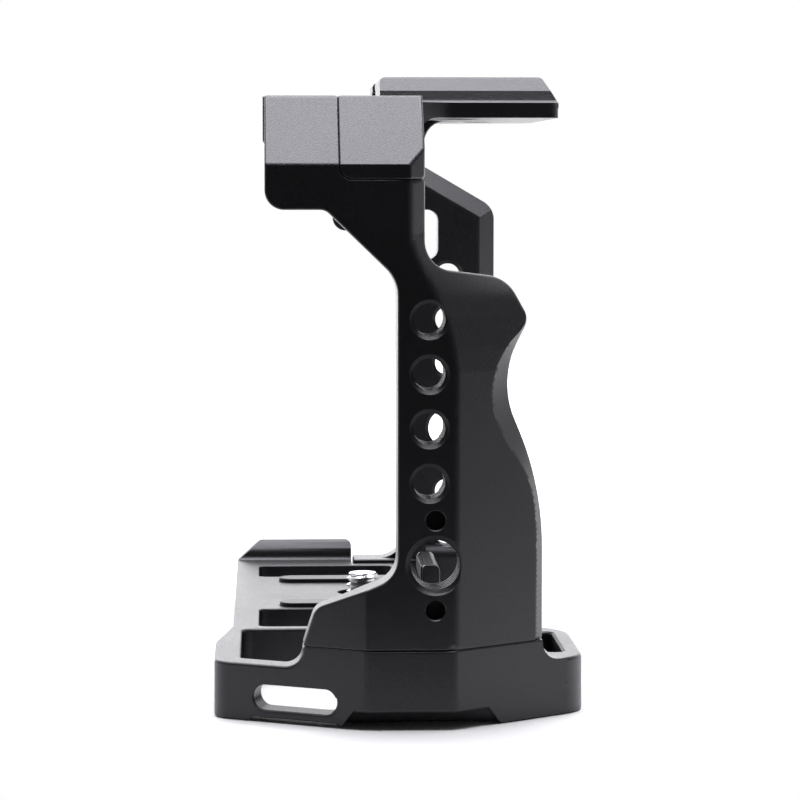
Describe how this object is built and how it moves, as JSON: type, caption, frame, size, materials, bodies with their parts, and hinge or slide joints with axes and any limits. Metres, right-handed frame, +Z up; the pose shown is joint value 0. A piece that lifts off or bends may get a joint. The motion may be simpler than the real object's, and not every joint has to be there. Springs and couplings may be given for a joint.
{
  "type": "camera cage",
  "caption": "Black metal cage for a mirrorless camera: base with windows and captive screw, two side plates with threaded holes, top plate with raised deck and shoe.",
  "frame": {"origin": "middle of the footprint of the whole part, on the underside", "axes": "+X towards the camera's hand grip, +Y in the lens direction, +Z up"},
  "size_m": [0.15, 0.0618, 0.1074],
  "materials": {
    "black": "black anodised, fine blasted",
    "steel": "polished stainless",
    "black_steel": "black oxide",
    "pad": "matt",
    "nylon": "matt"
  },
  "bodies": {
    "cage": {"base_plate": "black", "grip_side_plate": "black", "top_plate": "black", "left_side_plate": "black", "front_stop": "black", "tripod_inserts": "steel", "base_pad_left_side": "pad", "base_pad_grip_side": "pad", "grip_side_pad": "pad", "left_side_pad": "pad", "front_stop_pad": "pad", "front_stop_screws": "black_steel", "grip_plate_base_screws": "black_steel", "grip_plate_top_screws": "black_steel", "left_plate_base_screws": "black_steel", "left_plate_top_screws": "black_steel", "grip_plate_dowels": "steel", "left_plate_dowels": "steel"},
    "retainer": {"screw_retaining_ring": "steel"},
    "screw": {"camera_screw": "steel", "screw_washer": "nylon"},
    "pull_ring": {"screw_d_ring": "steel"}
  },
  "joints": [
    {"name": "camera_screw_lift", "type": "slide", "parent": "cage", "child": "retainer", "axis": [0, 0, 1], "range_m": [0, 0.0008]},
    {"name": "camera_screw_turn", "type": "hinge", "parent": "retainer", "child": "screw", "pos_m": [-0.0217, -0.0036, 0.005], "axis": [0, 0, 1], "continuous": true},
    {"name": "d_ring_fold", "type": "hinge", "parent": "screw", "child": "pull_ring", "pos_m": [-0.0217, -0.0036, 0.0013], "axis": [-1, 0, 0], "range_deg": [0, 180]}
  ]
}
